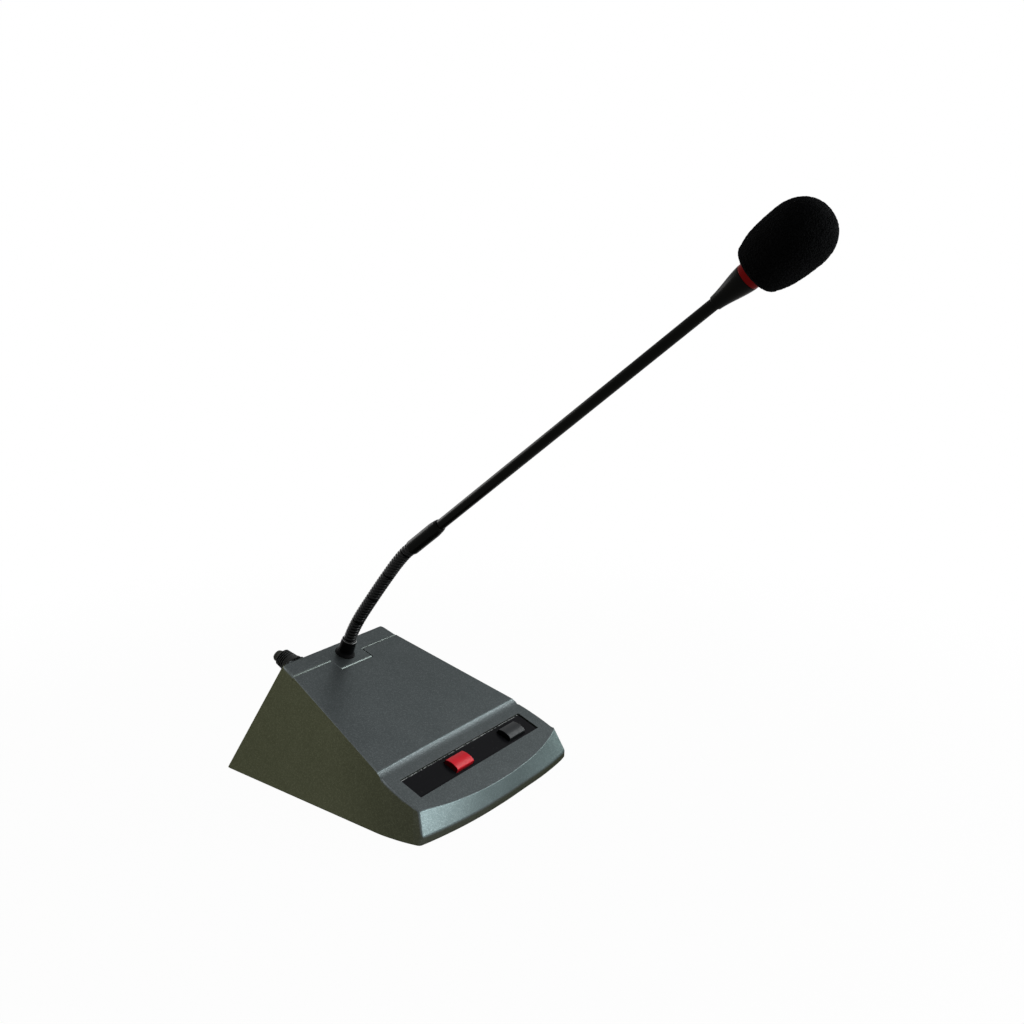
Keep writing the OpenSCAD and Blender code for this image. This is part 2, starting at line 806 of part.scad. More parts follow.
// Egg-shaped foam with a pocket for the basket
module foam_windscreen() {
  steps = 14;
  pocket_r = basket_d / 2 + fit;
  pocket_l = basket_l + fit;
  mouth_chamfer = 0.6;
  tip = foam_l - foam_belly;
  base_pts = [for (i = [0:steps])
    let (z = foam_belly * (1 - cos(90 * i / steps))) [max(foam_r(z), pocket_r + mouth_chamfer), z]];
  tip_pts = [for (i = [1:steps]) let (z = foam_belly + tip * sin(90 * i / steps)) [foam_r(z), z]];
  color("#0a0a0a") head_frame() translate([0, 0, foam_z]) rotate_extrude()
    polygon(concat([[pocket_r, 0]], base_pts, tip_pts, [[0, pocket_l], [pocket_r, pocket_l]]));
}

// Ribbed boot on a flange, with a shank through the back wall
module cable_gland() {
  bore_r = cable_bore_d / 2;
  foot = gland_seat + gland_flange_t;
  pitch = boot_l * 0.7 / boot_ribs;
  plain = boot_l * 0.3;
  groove = 0.9;
  ribs = [for (i = [0:boot_ribs - 1]) let (z = foot + plain + i * pitch,
    r = boot_d / 2 - (boot_d - boot_tip_d) / 2 * (plain + i * pitch) / boot_l)
    each [[r, z], [r - groove, z + pitch * 0.12], [r - groove, z + pitch * 0.42], [r, z + pitch * 0.54]]];
  tip_z = foot + boot_l;
  tail = -gland_inner - gland_clip_t - gland_tail;
  color("#121213") gland_frame() rotate_extrude()
    polygon(concat([[bore_r, tail], [gland_shank_d / 2, tail],
      [gland_shank_d / 2, gland_seat], [gland_flange_d / 2, gland_seat],
      [gland_flange_d / 2, foot - 0.4], [gland_flange_d / 2 - 0.4, foot], [boot_d / 2, foot]], ribs,
      [[boot_tip_d / 2, tip_z], [boot_tip_d / 2 - 0.9, tip_z + 0.4],
      [boot_tip_d / 2 - 1.3, tip_z + boot_end_l * 0.6], [bore_r + 0.5, tip_z + boot_end_l],
      [bore_r, tip_z + boot_end_l]]));
}

module gland_clip() {
  color("#9a9c9f") gland_frame() translate([0, 0, -gland_inner - gland_clip_t])
    ring(gland_clip_d, gland_shank_d + 2 * snug, gland_clip_t);
}

base_pad();
bottom_plate();
main_cover();
rear_cover();
cover_screws();
ballast_weight();
ballast_screws();
circuit_board();
board_standoffs();
board_screws();
control_inlay();
red_button();
grey_button();
red_switch();
grey_switch();
switch_board();
switch_board_screws();
neck_collar();
neck_washer();
neck_nut();
neck_link(1);  // neck_link_1
neck_link(2);  // neck_link_2
neck_link(3);  // neck_link_3
neck_link(4);  // neck_link_4
neck_link(5);  // neck_link_5
neck_link(6);  // neck_link_6
neck_link(7);  // neck_link_7
neck_link(8);  // neck_link_8
coupling_sleeve();
stem_tube();
head_cone();
light_ring();
ring_board();
capsule_basket();
capsule_holder();
mic_capsule();
foam_windscreen();
cable_gland();
gland_clip();
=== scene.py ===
import json
import math

import bpy
from mathutils import Matrix, Vector

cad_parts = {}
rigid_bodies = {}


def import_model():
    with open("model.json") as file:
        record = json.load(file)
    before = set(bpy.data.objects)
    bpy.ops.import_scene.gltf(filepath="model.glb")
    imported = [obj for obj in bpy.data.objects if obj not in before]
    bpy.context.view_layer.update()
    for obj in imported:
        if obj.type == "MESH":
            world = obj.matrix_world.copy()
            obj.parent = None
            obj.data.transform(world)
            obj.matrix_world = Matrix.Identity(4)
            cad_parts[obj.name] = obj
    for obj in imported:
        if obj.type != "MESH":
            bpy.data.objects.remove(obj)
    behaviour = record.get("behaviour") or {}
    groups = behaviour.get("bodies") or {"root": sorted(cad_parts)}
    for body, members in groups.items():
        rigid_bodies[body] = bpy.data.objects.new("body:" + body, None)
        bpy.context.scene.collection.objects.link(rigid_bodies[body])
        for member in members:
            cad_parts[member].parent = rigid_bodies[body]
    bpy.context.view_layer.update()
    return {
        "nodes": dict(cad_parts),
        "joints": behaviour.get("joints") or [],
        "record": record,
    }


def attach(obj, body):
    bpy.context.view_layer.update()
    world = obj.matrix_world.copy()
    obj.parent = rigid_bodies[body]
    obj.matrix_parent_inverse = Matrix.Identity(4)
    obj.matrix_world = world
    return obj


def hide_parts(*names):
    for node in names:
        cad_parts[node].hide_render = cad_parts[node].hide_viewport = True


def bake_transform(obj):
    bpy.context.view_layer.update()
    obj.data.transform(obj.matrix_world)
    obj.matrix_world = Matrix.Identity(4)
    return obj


# Desk microphone: wedge base, wound neck, straight stem and foam head.
# Metres, in the frame of the solids: front towards -Y, table at z = 0.

for leftover in list(bpy.data.objects):
    bpy.data.objects.remove(leftover, do_unlink=True)

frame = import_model()
scene = bpy.context.scene
nodes = frame["nodes"]
joints = {joint["name"]: joint for joint in frame["joints"]}
mounts = {mount["name"]: mount for mount in frame["record"]["mounts"]}
slots = {part["node"]: part["material_slot"] for part in frame["record"]["subparts"]}
MM = 0.001

# The sloping top: its normal, the way up it, and the middle of its rear edge in mm.
normal = -Vector(joints["red_press"]["axis"])
uphill = Vector((0, normal.z, -normal.y))
TOP_EDGE = Vector((0, 36.45, 71))


def above_top(place):
    """Height in mm of a place in mm over the top face."""
    return (place - TOP_EDGE).dot(normal)


def down_top(place):
    """Distance in mm down the top face from its rear edge."""
    return (TOP_EDGE - place).dot(uphill)


# Camera

VIEW_AZIMUTH = math.radians(-55.95)
VIEW_ELEVATION = math.radians(11.83)
VIEW_ROLL = math.radians(-1.49)
VIEW_FROM = Vector((-0.5297, -0.4494, 0.2961))
VIEW_LENS = 44.67


def add_camera():
    back = Vector((
        math.sin(VIEW_AZIMUTH) * math.cos(VIEW_ELEVATION),
        -math.cos(VIEW_AZIMUTH) * math.cos(VIEW_ELEVATION),
        math.sin(VIEW_ELEVATION),
    ))
    level = Vector((math.cos(VIEW_AZIMUTH), math.sin(VIEW_AZIMUTH), 0))
    upright = back.cross(level)
    right = level * math.cos(VIEW_ROLL) + upright * math.sin(VIEW_ROLL)
    up = upright * math.cos(VIEW_ROLL) - level * math.sin(VIEW_ROLL)
    lens = bpy.data.cameras.new("view")
    lens.lens = VIEW_LENS
    lens.sensor_width = 36
    lens.clip_start, lens.clip_end = 0.01, 50
    camera = bpy.data.objects.new("view", lens)
    scene.collection.objects.link(camera)
    turn = Matrix((right, up, back)).transposed().to_4x4()
    camera.matrix_world = Matrix.Translation(VIEW_FROM) @ turn
    scene.camera = camera


# Shader maths

class Wire:
    """A socket of a shader tree. Sums and products of wires add Math nodes."""

    def __init__(self, tree, socket=None):
        self.tree, self.socket = tree, socket

    def node(self, kind, settings=None, sockets=None, out=0):
        made = self.tree.nodes.new(kind)
        for key, value in (settings or {}).items():
            setattr(made, key, value)
        for key, value in (sockets or {}).items():
            if isinstance(value, Wire):
                self.tree.links.new(value.socket, made.inputs[key])
            else:
                made.inputs[key].default_value = value
        return Wire(self.tree, made.outputs[out])

    def math(self, operation, first, second=0.0):
        return self.node("ShaderNodeMath", {"operation": operation}, {0: first, 1: second})

    def __add__(self, other):
        return self.math("ADD", self, other)

    def __radd__(self, other):
        return self.math("ADD", other, self)

    def __sub__(self, other):
        return self.math("SUBTRACT", self, other)

    def __rsub__(self, other):
        return self.math("SUBTRACT", other, self)

    def __mul__(self, other):
        return self.math("MULTIPLY", self, other)

    def __rmul__(self, other):
        return self.math("MULTIPLY", other, self)

    def __pow__(self, other):
        return self.math("POWER", self, other)

    def tint(self, low, high):
        """Colour between low and high by this value; each is a wire or three numbers."""
        low, high = (end if isinstance(end, Wire) else end + (1,) for end in (low, high))
        return self.node("ShaderNodeMix", {"data_type": "RGBA"}, {0: self, 6: low, 7: high}, 2)

    def ease(self, low, high):
        """0 below low, 1 above high, smooth between."""
        return self.node(
            "ShaderNodeMapRange", {"interpolation_type": "SMOOTHSTEP"},
            {"Value": self, "From Min": low, "From Max": high})


def finish(name, surface):
    """Material whose sockets come from surface(wire), a dict of Principled socket names."""
    material = bpy.data.materials.new(name)
    material.use_nodes = True
    tree = material.node_tree
    shader = tree.nodes["Principled BSDF"]
    for key, value in surface(Wire(tree)).items():
        if isinstance(value, Wire):
            tree.links.new(value.socket, shader.inputs[key])
        else:
            shader.inputs[key].default_value = value
    return material


def place_on(wire):
    return wire.node("ShaderNodeTexCoord", out=3)


def along(wire, axis, start):
    """Distance in metres along an axis from a starting place."""
    reach = wire.node(
        "ShaderNodeVectorMath", {"operation": "DOT_PRODUCT"}, {0: place_on(wire), 1: axis}, "Value")
    return reach - start.dot(axis)


def grain(wire, scale, detail):
    return wire.node("ShaderNodeTexNoise", None, {
        "Vector": place_on(wire), "Scale": scale, "Detail": detail})


def cells(wire, scale, out="Distance"):
    return wire.node("ShaderNodeTexVoronoi", None, {"Vector": place_on(wire), "Scale": scale}, out)


def seen_directly(wire):
    """1 where the camera, a mirror or a clear piece shows the surface, 0 where it only gives light."""
    seen = wire.node("ShaderNodeLightPath", out="Is Camera Ray")
    seen = seen + wire.node("ShaderNodeLightPath", out="Is Glossy Ray")
    seen = seen + wire.node("ShaderNodeLightPath", out="Is Transmission Ray")
    return wire.math("MINIMUM", seen, 1.0)


def dents(wire, height, strength, depth):
    return wire.node("ShaderNodeBump", None, {
        "Height": height, "Strength": strength, "Distance": depth})


# Finishes

gland_axis = Vector(mounts["cable_entry"]["axis"])
GLAND_REACH = 13.9
gland_start = Vector(mounts["cable_entry"]["pos_m"]) - gland_axis * GLAND_REACH * MM
strip_top = min(down_top(vertex.co / MM) for vertex in nodes["control_inlay"].data.vertices) * MM


def slate_paint(wire):
    """Metallic paint with fine flakes, with painted light by facing: a shaded olive copy on the flanks,
    slate on the top, the palest lit copy on the nose.
    """
    flake = wire.node("ShaderNodeSeparateColor", None, {0: cells(wire, 2200, "Color")})
    cloud = grain(wire, 60, 3)
    speck = flake ** 3.0
    shade = speck * 0.6 + cloud * 0.25 + 0.08
    # Painted shade: the flanks are a shaded copy of the paint, darker still towards the front.
    ahead = along(wire, Vector((0, -1, 0)), Vector((0, 0, 0))).ease(0.0, 0.075)
    shaded_flank = ahead.tint(shade.tint((0.045, 0.048, 0.029), (0.092, 0.097, 0.062)),
                       shade.tint((0.03, 0.032, 0.02), (0.062, 0.066, 0.042)))
    # Lit and shaded copies of one paint: the top is the mid tone, the nose the palest painted light.
    face = shade.tint((0.049, 0.056, 0.058), (0.1, 0.111, 0.114))
    lit_nose = shade.tint((0.055, 0.071, 0.072), (0.098, 0.122, 0.124))
    facing_light = wire.node("ShaderNodeAttribute", {"attribute_name": "facing_light"}, out="Fac")
    arris_highlight = wire.node("ShaderNodeAttribute", {"attribute_name": "arris_highlight"}, out="Fac")
    # The facing attribute picks the shaded flank, the top or the lit nose: painted light by facing.
    paint = (facing_light * 2.0 - 1.0).tint((facing_light * 2.0).tint(shaded_flank, face), lit_nose)
    bumps = grain(wire, 700, 2) * 0.5 + flake * 0.5
    return {
        # Pale painted highlight along the arrises, less metallic so that it stays even.
        "Base Color": arris_highlight.tint(paint, (0.2, 0.226, 0.213)),
        "Metallic": 0.9 - arris_highlight * 0.75,
        "Roughness": 0.38 - speck * 0.06 + cloud * 0.04,
        "Normal": dents(wire, bumps, 0.2, 0.00005),
        "Specular IOR Level": 0.05,
        "Specular Tint": (0.35, 0.35, 0.33, 1),
    }


def black_coat(base, rough, level, scale=900, depth=0.00004):
    def surface(wire):
        spots = grain(wire, scale, 3)
        wear = grain(wire, 45, 4)
        bright = tuple(c * 1.7 + 0.002 for c in base)
        return {
            "Base Color": wear.tint(base, bright),
            "Roughness": rough - 0.06 + wear * 0.12,
            "Normal": dents(wire, spots, 0.15, depth),
            "Specular IOR Level": level,
        }
    return surface


def collar_coat(wire):
    """Gloss black, polished along the upper rim."""
    surface = black_coat((0.0006, 0.0006, 0.0007), 0.22, 0.03, 300, 0.00002)(wire)
    height = along(wire, normal, TOP_EDGE * MM)
    surface["Roughness"] = 0.7 - 0.48 * height.ease(0.0016, 0.0034)
    surface["Coat Weight"] = height.ease(0.0091, 0.0096)
    surface["Coat Roughness"] = 0.12
    return surface


def foam_cells(wire):
    pores = cells(wire, 1500)
    fine = grain(wire, 2600, 2)
    hole = pores.ease(0.1, 0.7)
    return {
        "Base Color": (hole * 0.7 + fine * 0.3).tint(
            (0.0005, 0.0005, 0.0005), (0.0065, 0.0065, 0.007)),
        "Roughness": 1.0,
        "Specular IOR Level": 0.01,
        "Normal": dents(wire, hole + fine * 0.5, 0.9, 0.0004),
    }


def cap_plastic(shaded_flank, dark, light, rough):
    def surface(wire):
        mottle = grain(wire, 120, 4)
        skin = grain(wire, 2400, 2)
        crown = wire.node("ShaderNodeAttribute", {"attribute_name": "crown"}, out="Fac")
        return {
            # Painted shade: flanks and front take the dark shaded colour, the crown the lit colour.
            "Base Color": crown.ease(0.0, 0.9).tint(shaded_flank, mottle.tint(dark, light)),
            "Roughness": rough - 0.04 + mottle * 0.08,
            "Normal": dents(wire, skin, 0.12, 0.00004),
            "Specular IOR Level": 0.08,
        }
    return surface


def strip_film(wire):
    """Black film, with a pale painted highlight along its upper cut edge."""
    dust = grain(wire, 500, 4).ease(0.62, 0.8)
    film = dust.tint((0.006, 0.006, 0.007), (0.014, 0.014, 0.015))
    # Painted highlight: a pale band on the upper half millimetre of the film, broken by nicks.
    down = along(wire, -uphill, TOP_EDGE * MM)
    edge = 1.0 - down.ease(strip_top + 0.0005, strip_top + 0.0008)
    nicks = grain(wire, 900, 2).ease(0.36, 0.6)
    return {
        "Base Color": (edge * nicks).tint(film, (0.28, 0.285, 0.285)),
        "Roughness": 0.2 + dust * 0.15,
        "Specular IOR Level": 0.02,
        "Normal": dents(wire, grain(wire, 260, 2), 0.05, 0.0001),
    }


def ring_glow(wire):
    """Red light pipe, faintly lit from inside."""
    band = grain(wire, 300, 2)
    return {
        "Base Color": band.tint((0.045, 0.001, 0.001), (0.07, 0.002, 0.002)),
        "Roughness": 0.22 + band * 0.1,
        "Emission Color": band.tint((0.3, 0.003, 0.003), (0.4, 0.005, 0.005)),
        "Emission Strength": 0.15,
        "Specular IOR Level": 0.03,
    }


def rubber(base, level=0.3):
    def surface(wire):
        skin = grain(wire, 800, 4)
        return {
            "Base Color": grain(wire, 70, 3).tint(base, tuple(c * 1.6 for c in base)),
            "Roughness": 0.55 + skin * 0.2,
            "Normal": dents(wire, skin, 0.25, 0.00006),
            "Specular IOR Level": level,
        }
    return surface


def gland_rubber(wire):
    """Black rubber, with the ribs' crests painted paler as highlight and a paler painted sheen towards
    the tip.
    """
    skin = grain(wire, 800, 4)
    arm = wire.node(
        "ShaderNodeVectorMath", {"operation": "SUBTRACT"}, {0: place_on(wire), 1: gland_start})
    across = wire.node(
        "ShaderNodeVectorMath", {"operation": "CROSS_PRODUCT"}, {0: arm, 1: gland_axis})
    radius = wire.node("ShaderNodeVectorMath", {"operation": "LENGTH"}, {0: across}, "Value")
    # Painted highlight on the rib crests, over the black of the grooves.
    crest = radius.ease(0.0046, 0.0053)
    # Painted sheen towards the tip.
    tip = along(wire, gland_axis, gland_start).ease(0.0112, 0.0118)
    lit_crests = grain(wire, 70, 3).tint((0.028, 0.029, 0.028), (0.042, 0.043, 0.042))
    black = crest.tint((0.0015, 0.0015, 0.0015), lit_crests)
    return {
        "Base Color": tip.tint(black, (0.03, 0.031, 0.024)),
        "Roughness": 0.5 + skin * 0.2,
        "Normal": dents(wire, skin, 0.25, 0.00006),
        "Specular IOR Level": 0.05,
    }


def bare_metal(base, rough):
    def surface(wire):
        lines = wire.node("ShaderNodeTexNoise", None, {
            "Vector": wire.node("ShaderNodeMapping", None, {
                "Vector": place_on(wire), "Scale": (60, 1400, 1400)}),
            "Scale": 1.0, "Detail": 3.0})
        return {
            "Base Color": lines.tint(tuple(c * 0.8 for c in base), base),
            "Metallic": 1.0,
            "Roughness": rough + lines * 0.15,
        }
    return surface


def board_laminate(wire):
    weave = grain(wire, 900, 2)
    return {
        "Base Color": weave.tint((0.012, 0.09, 0.03), (0.03, 0.15, 0.06)),
        "Roughness": 0.4 + weave * 0.1,
    }


FINISHES = {
    "cover_paint": slate_paint,
    "pad_rubber": rubber((0.012, 0.012, 0.012)),
    "plate_steel": black_coat((0.015, 0.015, 0.015), 0.5, 0.4),
    "bare_steel": bare_metal((0.5, 0.51, 0.53), 0.25),
    "board_green": board_laminate,
    "standoff_brass": bare_metal((0.6, 0.45, 0.15), 0.25),
    "inlay_black": strip_film,
    # The first colour of each cap is the painted shade of its flanks.
    "red_cap": cap_plastic((0.07, 0.004, 0.005), (0.46, 0.005, 0.014), (0.54, 0.011, 0.022), 0.34),
    "grey_cap": cap_plastic((0.0015, 0.0015, 0.0015), (0.01, 0.011, 0.012), (0.017, 0.0185, 0.02), 0.36),
    "switch_black": rubber((0.014, 0.014, 0.015)),
    "collar_black": collar_coat,
    "neck_black": black_coat((0.0008, 0.0008, 0.0008), 0.25, 0.1),
    "stem_black": black_coat((0.0012, 0.0012, 0.0006), 0.26, 0.035),
    "cone_black": black_coat((0.0012, 0.0012, 0.0006), 0.26, 0.035),
    "ring_red": ring_glow,
    "basket_metal": bare_metal((0.12, 0.12, 0.125), 0.35),
    "holder_rubber": rubber((0.015, 0.015, 0.015)),
    "capsule_metal": bare_metal((0.6, 0.61, 0.62), 0.2),
    "foam_black": foam_cells,
    "gland_black": gland_rubber,
}
finishes = {slot: finish(slot, surface) for slot, surface in FINISHES.items()}
for node, solid in nodes.items():
    for place in solid.material_slots:
        place.material = finishes[slots[node]]


# Modelling helpers

SMOOTH_ANGLE = math.radians(40)


def take(obj):
    """Only this piece is selected and active, in object mode."""
    if bpy.context.mode != "OBJECT":
        bpy.ops.object.mode_set(mode="OBJECT")
    bpy.ops.object.select_all(action="DESELECT")
    obj.select_set(True)
    bpy.context.view_layer.objects.active = obj


def edit(obj):
    take(obj)
    bpy.ops.object.mode_set(mode="EDIT")
    bpy.ops.mesh.select_all(action="SELECT")


def done(obj):
    bpy.ops.object.mode_set(mode="OBJECT")


def add_piece(name, mesh):
    piece = bpy.data.objects.new(name, mesh)
    scene.collection.objects.link(piece)
    return piece


def apply(obj, kind, **settings):
    """Adds a modifier, sets it and applies it."""
    take(obj)
    modifier = obj.modifiers.new(kind.lower(), kind)
    for key, value in settings.items():
        setattr(modifier, key, value)
    bpy.ops.object.modifier_apply(modifier=modifier.name)


def fit_out(piece, node, body):
    """The piece stands for a solid: its finish, its body and its place in the table."""
    slot = slots[node]
    piece.data.materials.clear()
    piece.data.materials.append(finishes[slot])
    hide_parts(node)
    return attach(piece, body)


def softened(node, name, body, width, roundings, segments=3, reshape=None):
    """Copy of a solid with soft arrises, bevelled once by each of the roundings."""
    piece = add_piece(name, nodes[node].data.copy())
    edit(piece)
    bpy.ops.mesh.customdata_custom_splitnormals_clear()
    bpy.ops.mesh.remove_doubles(threshold=2e-6)
    bpy.ops.mesh.dissolve_limited(angle_limit=math.radians(0.4))
    bpy.ops.mesh.normals_make_consistent(inside=False)
    done(piece)
    if reshape:
        for vertex in piece.data.vertices:
            vertex.co = reshape(vertex.co / MM) * MM
        piece.data.update()
    for rounding in roundings:
        bevel(piece, width, rounding, segments)
    smooth(piece)
    return fit_out(piece, node, body)


def bevel(piece, width, rounding, segments):
    """Bevel the outer edges. rounding(middle, a, b), from the two faces' normals, is the width in mm."""
    mesh = piece.data
    sides = {}
    for face in mesh.polygons:
        for key in face.edge_keys:
            sides.setdefault(key, []).append(face)
    shares = mesh.attributes.get("bevel_weight_edge")
    if not shares:
        shares = mesh.attributes.new("bevel_weight_edge", "FLOAT", "EDGE")
    for edge in mesh.edges:
        share = 0.0
        pair = sides.get(tuple(sorted(edge.vertices)), [])
        if len(pair) == 2:
            one, two = pair
            start, end = (mesh.vertices[i].co for i in edge.vertices)
            middle = (start + end) / 2
            if one.normal.angle(two.normal, 0) > math.radians(10) and outer(one, two, middle):
                share = rounding(middle / MM, one.normal, two.normal) / width
        shares.data[edge.index].value = share
    apply(piece, "BEVEL", limit_method="WEIGHT", width=width * MM, segments=segments,
          use_clamp_overlap=False, miter_outer="MITER_ARC", loop_slide=True)


def outer(one, two, middle):
    """True where two faces meet in a ridge, not in a groove."""
    return ((one.center - middle).dot(two.normal) < 1e-7
            and (two.center - middle).dot(one.normal) < 1e-7)


def smooth(piece):
    take(piece)
    bpy.ops.object.shade_smooth_by_angle(angle=SMOOTH_ANGLE)
    apply(piece, "WEIGHTED_NORMAL", weight=80, keep_sharp=True)


def rounded(points, steps=5):
    """Outline with fillets: each point is (radius, height) or (radius, height, fillet)."""
    outline = []
    count = len(points)
    for i, point in enumerate(points):
        here = Vector(point[:2])
        fillet = point[2] if len(point) > 2 else 0
        if not fillet:
            outline.append(here)
            continue
        before = (Vector(points[i - 1][:2]) - here).normalized()
        after = (Vector(points[(i + 1) % count][:2]) - here).normalized()
        half = before.angle(after) / 2
        reach = fillet / math.tan(half)
        start, end = here + before * reach, here + after * reach
        centre = here + (before + after).normalized() * (fillet / math.sin(half))
        from_centre, to_centre = start - centre, end - centre
        sweep = from_centre.angle_signed(to_centre)
        for k in range(steps + 1):
            turn = Matrix.Rotation(-sweep * k / steps, 2)
            outline.append(centre + turn @ from_centre)
    return outline


def axis_frame(origin, axis):
    """Frame whose Z runs along axis, with X across the object."""
    z = Vector(axis).normalized()
    x = Vector((1, 0, 0))
    y = z.cross(x)
    return Matrix.Translation(Vector(origin)) @ Matrix((x, y, z)).transposed().to_4x4()


def outward(piece):
    """The faces of a closed piece look outwards."""
    if sum(face.center.dot(face.normal) * face.area for face in piece.data.polygons) < 0:
        edit(piece)
        bpy.ops.mesh.flip_normals()
        done(piece)


def turned(name, outline, place, steps=96):
    """Lathe-turned closed piece: an outline of (radius, height) in mm, spun and set in place."""
    mesh = bpy.data.meshes.new(name)
    count = len(outline)
    rim = [(i, (i + 1) % count) for i in range(count)]
    mesh.from_pydata([(r * MM, 0, z * MM) for r, z in outline], rim, [])
    piece = add_piece(name, mesh)
    edit(piece)
    bpy.ops.mesh.spin(steps=steps, angle=2 * math.pi, center=(0, 0, 0), axis=(0, 0, 1))
    bpy.ops.mesh.select_all(action="SELECT")
    bpy.ops.mesh.remove_doubles(threshold=1e-6)
    bpy.ops.mesh.normals_make_consistent(inside=False)
    done(piece)
    piece.data.transform(place)
    outward(piece)
    take(piece)
    bpy.ops.object.shade_smooth_by_angle(angle=SMOOTH_ANGLE)
    return piece


# Places

head_axis = Vector(joints["windscreen_pull"]["axis"])
pivots = [Vector(joints["neck_%d" % k]["pos_m"]) for k in range(1, 10)]
COLLAR_BALL = 5.6155
collar_frame = axis_frame(pivots[0] - normal * COLLAR_BALL * MM, normal)
head_frame = axis_frame(pivots[8], head_axis)
gland_frame = axis_frame(gland_start, gland_axis)

add_camera()


# Painted covers

# Side walls and nose, as the rounding finds them, the gland's seat, and the seam and hollow, in mm.
COVER_ROUND = 3.6
SIDE_FROM, NOSE_FROM, SEAT_TOP = 38, -70, 69.7
STRIP_END, TONGUE_END, TONGUE_HALF, LAP_END = 11.1, 19.6, 13.55, 14.35
SEAM_GAP, SEAM_FILL = 0.8, 0.7
STEP_AT, HOLLOW_RUN, HOLLOW_STRETCH = 90.33, 3.32, 0.6


def cover_corner(middle, a, b):
    """Rounding in mm of a cover's upright corners and of the crease along the nose."""
    pair = (a, b)
    side = any(abs(n.x) > 0.75 and n.x * middle.x > 0 for n in pair) and abs(middle.x) > SIDE_FROM
    nose = [n for n in pair if n.y < -0.8 and middle.y < NOSE_FROM]
    back = middle.y > 30 and any(n.y > 0.8 and n.z > 0.4 for n in pair)
    if len(nose) == 2:
        return 0.9
    if side and nose:
        return 1.5
    if side and back:
        if wall_depth(middle) > 1.3:
            return 0.3
        return 2.6 if middle.z > 68.9 else 1.6
    return 0.0


def cover_edge(middle, a, b):
    """Rounding in mm of a cover's upper and lower arrises."""
    pair = (a, b)
    outwards = math.copysign(1, middle.x)
    rim = abs(middle.x) > SIDE_FROM and any(
        n.x * outwards > 0.2 and n.y > -0.8 and n.z < 0.6 for n in pair)
    nose = middle.y < NOSE_FROM and any(n.y < -0.8 for n in pair)
    back = middle.y > 33 and any(n.y > 0.6 and 0.4 < n.z < 0.7 for n in pair)
    if any(n.z > 0.85 for n in pair) and above_top(middle) > -1.2:
        if rim or back:
            return 1.4 if rim else 0.9
        if nose:
            return 0.25
        forward = any(n.dot(uphill) < -0.99 for n in pair)
        if middle.y > 10:
            tongue = any(abs(n.x) > 0.99 for n in pair)
            rear = any(n.dot(uphill) > 0.99 for n in pair)
            return 1.6 if forward else 0.5 if tongue else 0.2 if rear else 0.0
        return 0.4 if forward else 0.12
    if any(n.z < -0.95 for n in pair) and middle.z < 1.1:
        return 1.0 if rim or nose else 0.6 if back else 0.0
    return 0.0


def ramp(value, low, high):
    return min(1.0, max(0.0, (value - low) / (high - low)))


def wall_depth(place):
    """How deep in mm a place lies behind the outside of the side wall."""
    return 57.4 - 0.97 * abs(place.x) - 0.17 * place.y - 0.14 * place.z


def spread_tail(place):
    """The side walls stand wider at their rear foot, and the top's rear edge reaches to the right."""
    wall = ramp(4 - wall_depth(place), 0, 1)
    foot = ramp(place.y, 10, 84) * ramp(50 - place.z, 0, 49) * wall
    crown = ramp(place.y, 26.4, 36.4) * ramp(place.z, 40, 66) * wall
    return place + Vector((math.copysign(1.6 * foot + crown, place.x) + 0.4 * crown, 0, 0))


def spread_nose(place):
    """The nose spreads a little towards its lower corners."""
    low = ramp(20 - place.z, 0, 14)
    out = ramp(abs(place.x), 10, 65)
    cheek = ramp(-place.y, 58, 74)
    nose = ramp(-place.y, 66, 72)
    bulge = ramp(place.x, 20, 62) * 2.8 * low
    across = math.copysign((0.5 + 0.6 * low) * out * cheek, place.x)
    ahead = -((0.6 + 1.2 * low) * out + bulge) * nose
    return place + Vector((across, ahead, ahead * 0.464 * (1 - low)))


def main_form(place):
    """The main cover comes up to the strip and tongue but for a hairline. Its hollow is drawn wider."""
    down, deep, wide = down_top(place), above_top(place), abs(place.x)
    moved = spread_tail(spread_nose(place))
    if -1.4 < deep:
        if abs(down - STRIP_END - SEAM_GAP) < 0.1 and wide > TONGUE_HALF:
            moved += uphill * SEAM_FILL
        if abs(down - TONGUE_END - SEAM_GAP) < 0.1 and wide < TONGUE_HALF + 1:
            moved += uphill * SEAM_FILL
        if abs(wide - TONGUE_HALF - SEAM_GAP) < 0.1 and STRIP_END < down < TONGUE_END + 1:
            moved.x -= math.copysign(SEAM_FILL, place.x)
        if abs(down - STRIP_END - SEAM_GAP) < 0.1 and wide > 45:
            moved.x -= math.copysign(0.157, place.x)
    if wide > 45 and abs(down - LAP_END) < 0.1 and -2.6 < deep < -1.2:
        moved += uphill * 3.1
        moved.x -= math.copysign(0.69, place.x)
    past_step = down - STEP_AT
    if 0 < past_step < HOLLOW_RUN + 0.05 and -1.2 < deep < 0.05:
        moved -= uphill * past_step * HOLLOW_STRETCH
    return moved


def rear_form(place):
    """The seat of the cable gland stays below the top's rear edge."""
    moved = spread_tail(place)
    if place.y > 36.5 and place.z > SEAT_TOP:
        on_wall = abs(0.826 * (place.y - 36.45) + 0.5635 * (place.z - 71)) < 0.1
        moved.y += (place.z - SEAT_TOP) * (0.682 if on_wall else 0.464)
        moved.z = SEAT_TOP
    return moved


